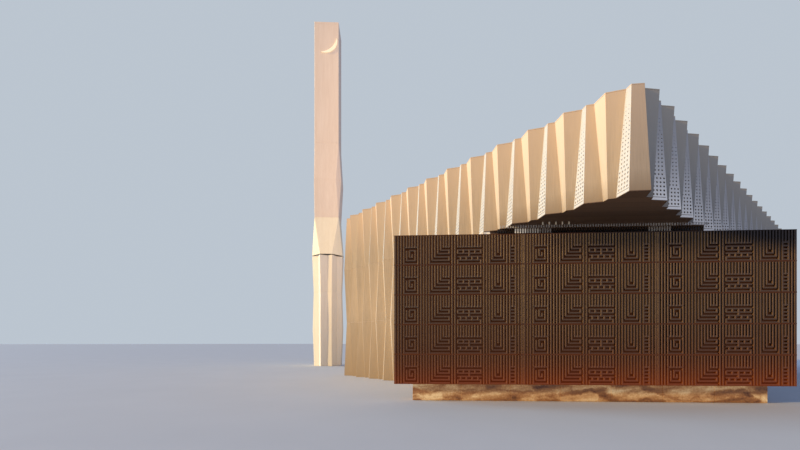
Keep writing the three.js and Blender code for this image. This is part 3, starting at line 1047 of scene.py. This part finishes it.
def chamfer_plate(ends_low, ends_high, low, high):
    """A plate over a chamfer: its four outer corners drawn in from the ridges, and the same further in."""
    rings = []
    for sunk in (0, PLATE):
        for (a, b), z, order in ((ends_low, low, 1), (ends_high, high, -1)):
            a, b = Vector(a), Vector(b)
            way = (b - a).normalized()
            inward = Vector((-way.y, way.x)) * sunk
            pair = [a + way * JOINT / 2 + inward, b - way * JOINT / 2 + inward]
            rings += [(*place, z) for place in pair[::order]]
    return rings, prism_faces(4)


def build_corner(node, before, after, first_level):
    heap = Heap()
    for level in range(first_level, TIERS):
        halves = joint_half(level), joint_half(level + 1)
        low, high = level * TIER, (level + 1) * TIER
        ends = [corner_plan(before, after, half)[:2] for half in halves]
        heap.add(*chamfer_plate(*ends, low + JOINT / 2, high - head_gap(level)), PLAIN)
        rings = [corner_plan(before, after, half, CAVITY) for half in halves]
        heap.add(*loft(*rings, low, high - (COPING if level == TOP_LEVEL else 0)), BEHIND)
    head = corner_plan(before, after, joint_half(TIERS))
    heap.add(*prism(head, HALL_HIGH.z - COPING, HALL_HIGH.z), PLAIN)
    if first_level:
        foot = corner_plan(before, after, joint_half(first_level))
        low = first_level * TIER - UNDERSIDE_DROP
        heap.add(*prism(foot, low, low + PLATE), BOARDS)
    return heap.build(node + "_skin", SUNNY_WALL, [node])


front, right, back, left = FACADES
build_corner("corner_prow", front, right, CUT_LEVELS)
build_corner("corner_right_back", right, back, 0)
build_corner("corner_left_back", back, left, 0)
build_corner("corner_left_front", left, front, 0)
print("corners: 4 pieces")

# %% [markdown]
# ## Dressing the plain slabs
# Floor, roof, soffit and beam are already the right shape, so their solids stay and only get a
# material. Setting the slot's link to the object leaves the mesh itself untouched.

# %% Give the plain solids their materials
POSTS = sorted(node for node in NODES if node.startswith("screen_post_"))
PLAIN_SOLIDS = {
    "floor_slab": FLOOR,
    "roof_slab": ROOF,
    "soffit": SOFFIT,
    "prow_beam": INSIDE,
    "entrance_frame": FRAMES,
    "entrance_glass": GLASS,
    **{post: FRAMES for post in POSTS},
}


def dress(node, material):
    piece = NODES[node]
    if not piece.material_slots:
        piece.data.materials.append(None)
    for slot in piece.material_slots:
        slot.link = "OBJECT"
        slot.material = material


for node, material in PLAIN_SOLIDS.items():
    dress(node, material)
print("plain solids dressed:", len(PLAIN_SOLIDS))

# %% [markdown]
# ## The flat roof
# A flat roof in a hot country is covered with pale slabs on pads. They keep the sun off the sheet below,
# with open joints that let rain through, and a low kerb runs round the foot of the parapet. One bevelled
# slab is made by bmesh and copied along two axes. An Array modifier would do that too, but then every
# slab would have the same tone, since a tone for each island needs one mesh.

# %% A box with planed edges
BEVEL_STEPS = 2
BEVEL_PROFILE = 0.6


def bevelled_box(low, high, bevel):
    """A box with its edges planed, as corners and faces in its own directions."""
    work = bmesh.new()
    bmesh.ops.create_cube(work, size=1)
    centre = (low + high) / 2
    for v in work.verts:
        v.co = Vector(centre[i] + v.co[i] * (high[i] - low[i]) for i in range(3))
    bmesh.ops.bevel(
        work, geom=work.edges[:], offset=bevel, segments=BEVEL_STEPS, profile=BEVEL_PROFILE, affect="EDGES"
    )
    return read_out(work)


print("a planed box has", len(bevelled_box(Vector((0, 0, 0)), Vector((1, 1, 1)), 0.01)[1]), "faces")

# %% Lay the roof's slabs and kerb
PAVER = 0.9
PAVER_JOINT = 0.010
PAVER_RISE = 0.035
PAVER_BEVEL = 0.006
KERB_WIDTH = 0.12
KERB_HEIGHT = 0.16
KERB_BEVEL = 0.015
PAVING = mineral("roof_paving", paint(196, 186, 172), paint(168, 158, 144), tone=0.18, roughness=0.75)
roof_low, roof_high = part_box("roof_slab")


def build_pavers():
    low = Vector((roof_low.x + KERB_WIDTH, roof_low.y + KERB_WIDTH, roof_high.z))
    high = Vector((roof_high.x - KERB_WIDTH, roof_high.y - KERB_WIDTH, roof_high.z + PAVER_RISE))
    counts = [round((high[i] - low[i]) / PAVER) for i in range(2)]
    steps = [(high[i] - low[i]) / counts[i] for i in range(2)]
    gap = PAVER_JOINT / 2
    heap = Heap()
    for i in range(counts[0]):
        for j in range(counts[1]):
            start = Vector((low.x + i * steps[0] + gap, low.y + j * steps[1] + gap, low.z))
            end = Vector((start.x + steps[0] - PAVER_JOINT, start.y + steps[1] - PAVER_JOINT, high.z))
            heap.add(*bevelled_box(start, end, PAVER_BEVEL))
    return heap.build("roof_pavers", [PAVING])


def build_kerb():
    """A kerb round the foot of the parapet, as four bars that meet at the corners."""
    low, high = roof_low, roof_high
    foot, head = high.z, high.z + KERB_HEIGHT
    heap = Heap()
    for x0, y0, x1, y1 in (
        (low.x, low.y, high.x, low.y + KERB_WIDTH),
        (low.x, high.y - KERB_WIDTH, high.x, high.y),
        (low.x, low.y + KERB_WIDTH, low.x + KERB_WIDTH, high.y - KERB_WIDTH),
        (high.x - KERB_WIDTH, low.y + KERB_WIDTH, high.x, high.y - KERB_WIDTH),
    ):
        heap.add(*bevelled_box(Vector((x0, y0, foot)), Vector((x1, y1, head)), KERB_BEVEL))
    return heap.build("roof_kerb", [PANEL])


piece = build_pavers()
build_kerb()
print("roof slabs:", len(piece.data.polygons), "faces")

# %% [markdown]
# ## Lamps and blades
# Small things tell the eye how large a building is. A short row of small lamps hangs from the soffit,
# and two rows of upright blades before the head of the glazed wall. Hidden lamps wash some of the
# blades, which pale step by step. All of them are simple prisms, set out along the glazed wall.

# %% Materials of the small parts
def lamp_glass():
    shader = Shader("lamp_glass", Roughness=0.4)
    glimmer = shader.noise(shader.place(), 30, 2)
    colour = shader.mix(glimmer, paint(255, 232, 190), paint(255, 244, 220))
    shader.set(Base_Color=colour, Emission_Color=colour, Emission_Strength=0.05)
    return shader.material


LAMP = lamp_glass()
# Painted lamp light: the blades glow, less and less from one finish to the next.
LIT_BLADES = [
    mineral(f"lit_blade_{i}", paint(214, 204, 190), paint(190, 178, 164), glow=glow)
    for i, glow in enumerate((0.42, 0.17, 0.03, 0.007))
]
print("small parts:", LAMP.name, [material.name for material in LIT_BLADES])

# %% Soffit lamps
LAMP_SIDES = 12
LAMP_RADIUS = 0.024
LAMP_DROP = 0.085
LAMP_PITCH = 0.21
LAMP_COUNT = 5
LAMP_ALONG, LAMP_AHEAD = 1.40, 1.0
SOFFIT_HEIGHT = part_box("soffit")[0].z
frame_low, frame_high = box_along(SKEW, "entrance_frame")


def askew(corners):
    """Carries corners from the directions of the screen and the glazed wall to the world."""
    return [tuple(SKEW @ Vector(corner)) for corner in corners]


def build_lamps():
    """A short row of small lamps that hang before the glazed wall."""
    heap = Heap()
    for i in range(LAMP_COUNT):
        along = frame_low.x + LAMP_ALONG + i * LAMP_PITCH
        ring = circle(along, frame_low.y - LAMP_AHEAD, LAMP_RADIUS, LAMP_SIDES)
        corners, faces = prism(ring, SOFFIT_HEIGHT - LAMP_DROP, SOFFIT_HEIGHT)
        heap.add(askew(corners), faces)
    return heap.build("soffit_lamps", [LAMP])


piece = build_lamps()
print("soffit lamps:", LAMP_COUNT, "with", len(piece.data.polygons), "faces")

# %% Blades before the glazed wall
BLADE_PITCH = 0.085
BLADE_WIDTH = 0.042
BLADE_DEPTH = 0.02
# Each row: how far it hangs before the frame, how tall it is and where along it the finish changes
BLADE_ROWS = (
    (0.30, 0.15, ((0, 0), (0.62, 1), (1.05, 2), (1.47, 3), (1.9, 0), (5.15, 3), (5.95, 0))),
    (0.70, 0.085, ((0, 4), (0.62, 3), (1.9, 4), (5.05, 3), (5.80, 4))),
)


def add_skew_box(heap, low, high, finish=0):
    outline = [(low[0], low[1]), (high[0], low[1]), (high[0], high[1]), (low[0], high[1])]
    corners, faces = prism(outline, low[2], high[2])
    heap.add(askew(corners), faces, finish)


def build_blades():
    heap = Heap()
    length = frame_high.x - frame_low.x
    for ahead, tall, changes in BLADE_ROWS:
        for i in range(1, int(length / BLADE_PITCH)):
            along = i * BLADE_PITCH
            finish = [finish for start, finish in changes if start <= along][-1]
            low = Vector((frame_low.x + along - BLADE_WIDTH / 2, frame_low.y - ahead, frame_high.z - tall))
            add_skew_box(heap, low, low + Vector((BLADE_WIDTH, BLADE_DEPTH, tall)), finish)
    return heap.build("entrance_blades", [FRAMES, *LIT_BLADES])


piece = build_blades()
print("blades:", len(piece.data.polygons) // len(prism_faces(4)))

# %% [markdown]
# ## The screen
# The screen is a lattice of upright fins crossed by short bars, in five tiers. In each tier the upper
# part is a plain comb, and below it the bars run in spirals, stairs and ladders. Writing every bar by
# hand would be endless, so each motif is a short list of strokes on a grid, and cells of motifs are dealt
# out along a bay. A bar is a strip with its two front edges planed off, so that it catches the light.

# %% Screen bars
BAR = 0.046
LEVEL_BAR = 0.050
BAR_EDGE = 0.005
BAR_BACK = 0.10


def bar(heap, start, end, front, width=BAR):
    """A bar between two places (along, up) of the screen's front, upright or level."""
    (a0, z0), (a1, z1) = start, end
    half = width / 2
    profile = [
        (-half, BAR_EDGE),
        (-half + BAR_EDGE, 0),
        (half - BAR_EDGE, 0),
        (half, BAR_EDGE),
        (half, BAR_BACK),
        (-half, BAR_BACK),
    ]
    if a0 == a1:
        corners = [(a0 + side, front + deep, z) for z in (z0, z1) for side, deep in profile]
    else:
        corners = [(a, front + deep, z0 + side) for a in (a0, a1) for side, deep in profile]
    heap.add(askew(corners), prism_faces(len(profile)))


print("an upright bar is", BAR, "m wide and", BAR_BACK, "m deep")

# %% Motifs, as strokes on a grid
# A stroke is (column, line, column, line). Line 0 is the head of the tier, line 1 the foot of the comb,
# and lines 2 to 6 go down to the foot bar. Line 7 is the foot of the tier, where the next one starts.
HEAD, COMB, FOOT, THROUGH = 0, 1, 6, 7


def fins(columns, top, bottom):
    return [(c, top, c, bottom) for c in columns]


def pair_cell():
    """Two fins that run through the whole tier."""
    return 2, fins((0, 1), HEAD, THROUGH)


def wide_cell():
    """A hanging comb over long bars, with a row of teeth between some of them."""
    strokes = fins(range(9), HEAD, COMB) + [(0, line, 8, line) for line in range(COMB, FOOT + 1)]
    strokes += fins(range(0, 9, 2), 2, 3) + fins((4,), 3, 4)
    return 9, strokes + fins(range(1, 8, 2), 4, 5) + fins((0, 8), 5, FOOT)


def nest_cell():
    """U shapes, each in the next."""
    strokes = fins((3,), HEAD, 3)
    for inset in range(3):
        line = FOOT - inset
        strokes += fins((inset, 6 - inset), HEAD, line) + [(inset, line, 6 - inset, line)]
    return 7, strokes


def stair_cell():
    """Angles in angles, like the side of a stair."""
    strokes = fins(range(5, 8), HEAD, COMB) + [(5, 1, 7, 1)]
    for column, line in enumerate(range(FOOT, COMB, -1)):
        strokes += fins((column,), HEAD, line) + [(column, line, 7, line)]
    return 8, strokes + fins((7,), 2, 3) + fins((7,), 4, 5)


def ladder_cell():
    """Rungs between two tall fins."""
    strokes = fins((0, 2), HEAD, FOOT) + fins((1,), HEAD, COMB)
    return 3, strokes + [(0, line, 2, line) for line in range(COMB, FOOT + 1)]


def key_cell():
    """A square spiral under a comb."""
    strokes = fins((0, 7), HEAD, THROUGH) + fins(range(1, 7), HEAD, COMB) + fins((1, 6), COMB, FOOT)
    strokes += [(1, COMB, 6, COMB), (1, FOOT, 6, FOOT), (2, 5, 5, 5), (3, 2, 5, 2), (3, 4, 4, 4)]
    return 8, strokes + fins((2, 5), 2, 5) + fins((3,), 2, 4) + fins((4,), 3, 4)


# The cells of a bay, from its start to its end and the same in every tier
BAY_CELLS = [
    pair_cell(),
    key_cell(),
    pair_cell(),
    stair_cell(),
    pair_cell(),
    wide_cell(),
    pair_cell(),
    nest_cell(),
    ladder_cell(),
    pair_cell(),
]
COLUMNS = sum(width for width, _ in BAY_CELLS)
print("a bay holds", COLUMNS, "columns")

# %% [markdown]
# ## From strokes to a lattice
# A stroke's columns are spread evenly over a bay, and its lines over a tier: the comb takes the upper
# two fifths, and the other lines follow at one even step. Level bars are set back by a few millimetres
# and cross behind the fins. Two surfaces in one plane would flicker, and the step also draws a fine
# shadow at each crossing.

# %% Build the lattice of each bay
SCREEN_TIERS = 5
SCREEN_TIER = (SCREEN_TOP - SCREEN_FOOT) / SCREEN_TIERS
COMB_SHARE = 0.405
LINE_SHARE = 0.111
TIER_GAP = 0.022
CROSS_SETBACK = 0.004
END_BAR = 0.014
PANELS = sorted(node for node in NODES if node.startswith("screen_panel_"))


def line_height(tier, line):
    """How high a line of a tier lies. Tiers count down from the top."""
    top = SCREEN_FOOT + (SCREEN_TIERS - tier) * SCREEN_TIER
    if line == HEAD:
        return top - TIER_GAP
    if line == THROUGH:
        return top - SCREEN_TIER - TIER_GAP
    return top - (COMB_SHARE + (line - 1) * LINE_SHARE) * SCREEN_TIER


def add_tier(heap, start, front, pitch, tier):
    first = 0
    for width, strokes in BAY_CELLS:
        for c0, l0, c1, l1 in strokes:
            a0, a1 = (start + (first + c + 0.5) * pitch for c in (c0, c1))
            high, low = line_height(tier, l0), line_height(tier, l1)
            if c0 == c1:
                reach = BAR / 2 if l1 in (COMB, FOOT) else 0
                bar(heap, (a0, max(low - reach, SCREEN_FOOT)), (a1, high), front)
            else:
                reach = BAR / 2 - BAR_EDGE
                bar(heap, (a0 - reach, low), (a1 + reach, low), front + CROSS_SETBACK, LEVEL_BAR)
        first += width


def build_lattice(node):
    low, high = box_along(SKEW, node)
    pitch = (high.x - low.x) / COLUMNS
    heap = Heap()
    for tier in range(SCREEN_TIERS):
        add_tier(heap, low.x, low.y, pitch, tier)
    for end in (low.x + END_BAR / 2, high.x - END_BAR / 2):
        bar(heap, (end, low.z), (end, high.z), low.y, END_BAR)
    return heap.build(node.replace("panel", "lattice"), [BARS])


for node in PANELS:
    dress(node, BACKING)
    piece = build_lattice(node)
print("lattice:", len(PANELS), "bays of", len(piece.data.polygons), "faces")
print("each tier is", round(SCREEN_TIER, 3), "m tall")

# %% [markdown]
# ## Behind the screen
# Seen from the entrance the screen shows how it is made: a level rail behind every tier line, bolted
# between the posts. Each line is a row of plain boxes. They were meant to stop at the posts, but
# sorted compares vectors by their length and not by x. So the posts come in the wrong order, and the
# boxes overlap one another and run through the posts. Sorting the sides by x would part them.

# %% Build the rails
RAIL_HEIGHT = 0.06
RAIL_DEPTH = 0.05


def build_rails():
    posts = sorted(box_along(SKEW, post) for post in POSTS)
    sides = [corner.x for post in posts for corner in post]
    breaks = [box_along(SKEW, PANELS[0])[0].x, *sides, box_along(SKEW, PANELS[-1])[1].x]
    back = screen_high.y
    heap = Heap()
    for line in range(SCREEN_TIERS + 1):
        low = SCREEN_FOOT + line * SCREEN_TIER - RAIL_HEIGHT / 2
        low = min(max(low, SCREEN_FOOT), SCREEN_TOP - RAIL_HEIGHT)
        for start, end in zip(breaks[::2], breaks[1::2]):
            add_skew_box(heap, (start, back, low), (end, back + RAIL_DEPTH, low + RAIL_HEIGHT))
    return heap.build("screen_rails", [FRAMES])


piece = build_rails()
print("rails behind the screen:", len(piece.data.polygons) // len(prism_faces(4)))

# %% [markdown]
# ## The lit plinth
# The plinth is a row of amber slabs, polished and lit from within. The slabs are boxes with a small
# bevel on every edge, which bmesh makes in one call. A bevelled edge shows as a thin bright line, and
# that line is what makes a joint between slabs readable from afar.

# %% Build the plinth from slabs
SLABS = 7
SLAB_JOINT = 0.006
SLAB_BEVEL = 0.012


def build_plinth():
    low, high = box_along(SKEW, "screen_plinth")
    length = (high.x - low.x) / SLABS
    heap = Heap()
    for i in range(SLABS):
        start = Vector((low.x + i * length + SLAB_JOINT / 2, low.y, low.z))
        end = Vector((start.x + length - SLAB_JOINT, high.y, high.z))
        corners, faces = bevelled_box(start, end, SLAB_BEVEL)
        heap.add(askew(corners), faces)
    return heap.build("screen_plinth_slabs", [AMBER], ["screen_plinth"])


piece = build_plinth()
print("plinth:", SLABS, "slabs,", len(piece.data.polygons), "faces")

# %% [markdown]
# ## The minaret
# The minaret is faceted like the hall. Its solids already have the large facets, so each gets a copy to
# work on, and only the facets that face outwards are dressed. A facet is found by its normal: it is
# nearly upright and points away from the minaret's axis. The panels are paler than the hall's, and the
# tier above the shadow gap is yellower than the others.

# %% Minaret materials and its outer facets
SHAFT = mineral("minaret_panel", paint(236, 219, 200), paint(218, 197, 176), tone=0.04)
# Painted light: the folded lower tiers get a lit copy of the panel, in a cooler cream.
LIT_SHAFT = mineral("minaret_lit_panel", paint(230, 221, 203), paint(212, 200, 180), tone=0.05)
MIDDLE = mineral("minaret_middle_panel", paint(244, 234, 208), paint(228, 214, 184), tone=0.04)
# Painted light: the crescent glows a little.
CRESCENT = mineral("crescent_metal", paint(255, 246, 216), paint(250, 234, 196), tone=0.02, glow=0.18)
UPRIGHT = 0.7


def from_axis(place):
    return Vector((place.x - MINARET_AXIS.x, place.y - MINARET_AXIS.y, 0))


def is_level(edge):
    return abs(edge.verts[0].co.z - edge.verts[1].co.z) < TOLERANCE


def outer_faces(work):
    faces = [f for f in work.faces if abs(f.normal.z) < UPRIGHT]
    return [f for f in faces if f.normal.dot(from_axis(f.calc_center_median())) > 0]


print("minaret materials:", SHAFT.name, LIT_SHAFT.name, MIDDLE.name, CRESCENT.name)

# %% [markdown]
# ## Folding the lower facets
# Below the shadow gap the facets are folded once more. Each level edge gets a corner between its ends,
# pushed inwards, and the facet is split there from edge to edge. Higher up, the bulge of one side is
# flat instead: its corners are drawn back to the plane of the shaft. Moving a few corners by rule keeps
# the neighbours closed, where modelling the folds anew would have to match them.

# %% Fold and straighten
FOLDED_TIERS = 3
VALLEYS = (0.08, 0.14, 0.08, 0.14)
VALLEY_PLACE = 0.6
STRAIGHT_TIERS = (5, 6)
STRAIGHT_LEVEL = 5
SIDE_REACH = 0.7
shaft_low, shaft_high = box_along(MINARET, "minaret_shaft")
SHAFT_HALF = (shaft_high - shaft_low).x / 2


def fold_facets(work):
    """Splits each outer facet down its middle and pushes the split in as a valley."""
    faces = outer_faces(work)
    middles = set()
    for edge in {edge for face in faces for edge in face.edges if is_level(edge)}:
        start, end = edge.verts
        if from_axis(start.co).cross(from_axis(end.co)).z < 0:
            start = end
        middle = bmesh.utils.edge_split(edge, start, VALLEY_PLACE)[1]
        middle.co -= from_axis(middle.co).normalized() * VALLEYS[round(middle.co.z / TIER)]
        middles.add(middle)
    for face in faces:
        ends = [v for v in face.verts if v in middles]
        bmesh.utils.face_split(face, *ends)
    work.normal_update()


def straighten_side(work):
    """Draws the bulge of one side back to the plane of the shaft, all but the cut of its rear corner."""
    for v in work.verts:
        place = MINARET.inverted() @ from_axis(v.co)
        bulges = abs(v.co.z - STRAIGHT_LEVEL * TIER) < TOLERANCE and place.x < -SIDE_REACH
        if bulges and place.y < SHAFT_HALF:
            place.x = -SHAFT_HALF
            v.co.xy = (MINARET_AXIS + MINARET @ place).xy


print("shaft", round(2 * SHAFT_HALF, 2), "m wide, folded up to", round(FOLDED_TIERS * TIER, 2), "m")

# %% [markdown]
# ## Raising the facets
# Every facet stands out from its neighbours by a V-shaped joint along each arris. First all outer
# corners are drawn in a little, then each facet is inset by itself and raised almost as far, so that
# nothing reaches past the solid's own outline. Both steps are single bmesh calls, far simpler than
# modelling the joints.

# %% Build a minaret solid's facets
FACET_JOINT = 0.010
FACET_SUNK = 0.010
FACET_RAISE = 0.9 * FACET_SUNK
SHADOW_GAP = 0.07
WELD = 1e-4
FLAT_ANGLE = 0.01
# The shaft and the cap stand above the six tiers
ABOVE_TIERS = 7


def build_facets(node, material, tier=ABOVE_TIERS):
    """A dressed copy of a minaret solid, with a V-shaped joint along every outer arris."""
    work = bmesh.new()
    work.from_mesh(NODES[node].data)
    bmesh.ops.remove_doubles(work, verts=work.verts[:], dist=WELD)
    bmesh.ops.dissolve_limit(work, angle_limit=FLAT_ANGLE, verts=work.verts[:], edges=work.edges[:])
    if tier in STRAIGHT_TIERS:
        straighten_side(work)
    work.normal_update()
    if tier <= FOLDED_TIERS:
        fold_facets(work)
    if tier == FOLDED_TIERS:
        for v in work.verts:
            if v.co.z > tier * TIER - TOLERANCE:
                v.co.z -= SHADOW_GAP
    outer = outer_faces(work)
    for v in {v for face in outer for v in face.verts}:
        v.co -= from_axis(v.co).normalized() * FACET_SUNK
    bmesh.ops.inset_individual(
        work, faces=outer, thickness=FACET_JOINT, depth=FACET_RAISE, use_even_offset=True
    )
    for face in work.faces:
        face.smooth = False
    mesh = bpy.data.meshes.new(node + "_facets")
    work.to_mesh(mesh)
    work.free()
    mesh.materials.append(material)
    return settle(bpy.data.objects.new(node + "_facets", mesh), [node])


TIER_FINISHES = [LIT_SHAFT] * FOLDED_TIERS + [MIDDLE] + [SHAFT] * 2
for tier, finish in enumerate(TIER_FINISHES, 1):
    build_facets(f"minaret_tier_{tier}", finish, tier)
piece = build_facets("minaret_shaft", SHAFT)
build_facets("minaret_cap", SHAFT)
dress("minaret_crescent", CRESCENT)
print("minaret:", len(TIER_FINISHES), "tiers, a shaft of", len(piece.data.polygons), "faces and a cap")

# %% [markdown]
# ## The shadow gap
# A dark line runs round the minaret where its folded foot ends. The highest folded tier stops short by
# a few centimetres, and a recessed band of dark metal closes the gap. Its outline is the tier's own,
# drawn in. Last, all pieces of the minaret go into the collection that the soft box shines on.

# %% Build the shadow band
BAND_SHARE = 0.93
BAND_LAP = 0.01
BAND_CLEAR = 0.001
RIM = 0.02


def build_shadow_band():
    """The dark recessed ring that fills the gap above the folded tiers."""
    top = FOLDED_TIERS * TIER
    solid = NODES[f"minaret_tier_{FOLDED_TIERS}"].data
    corners = [from_axis(v.co) for v in solid.vertices if v.co.z > top - TOLERANCE]
    reach = max(corner.length for corner in corners)
    rim = {(round(c.x, 3), round(c.y, 3)) for c in corners if c.length > reach - RIM}
    ring = sorted(rim, key=lambda c: math.atan2(c[1], c[0]))
    outline = [(MINARET_AXIS.x + x * BAND_SHARE, MINARET_AXIS.y + y * BAND_SHARE) for x, y in ring]
    heap = Heap()
    heap.add(*prism(outline, top - SHADOW_GAP - BAND_LAP, top - BAND_CLEAR))
    return heap.build("minaret_shadow_band", [FRAMES])


build_shadow_band()
for piece in bpy.context.scene.objects:
    if piece.name.startswith("minaret_"):
        MINARET_PIECES.objects.link(piece)

# %% [markdown]
# ## Floor of the picture
# The building stands on a plain pale floor that is not part of it. It lies a hair lower than the
# underside of the walls, so that no two surfaces share a plane. It is a very wide disc, whose edge
# lies on the horizon from any side, where the corner of a square would show as a kink.

# %% Pale floor
FLOOR_SIZE = 1600
FLOOR_SIDES = 96
FLOOR_DROP = 0.004
FLOOR_DARK, FLOOR_LIGHT = (0.61, 0.61, 0.61, 1), (0.66, 0.66, 0.66, 1)


def pale_floor():
    shader = Shader("pale_floor", Roughness=0.9, Specular_IOR_Level=0.1)
    speckle = shader.noise(shader.place(), 0.4, 3)
    shader.set(Base_Color=shader.mix(speckle, FLOOR_DARK, FLOOR_LIGHT))
    mesh = bpy.data.meshes.new("pale_floor")
    ring = [(x, y, -FLOOR_DROP) for x, y in circle(0, 0, FLOOR_SIZE / 2, FLOOR_SIDES)]
    mesh.from_pydata(ring, [], [list(range(FLOOR_SIDES))])
    mesh.materials.append(shader.material)
    floor = bpy.data.objects.new("pale_floor", mesh)
    bpy.context.scene.collection.objects.link(floor)
    return floor


print("floor", rounded(pale_floor().dimensions), "m")
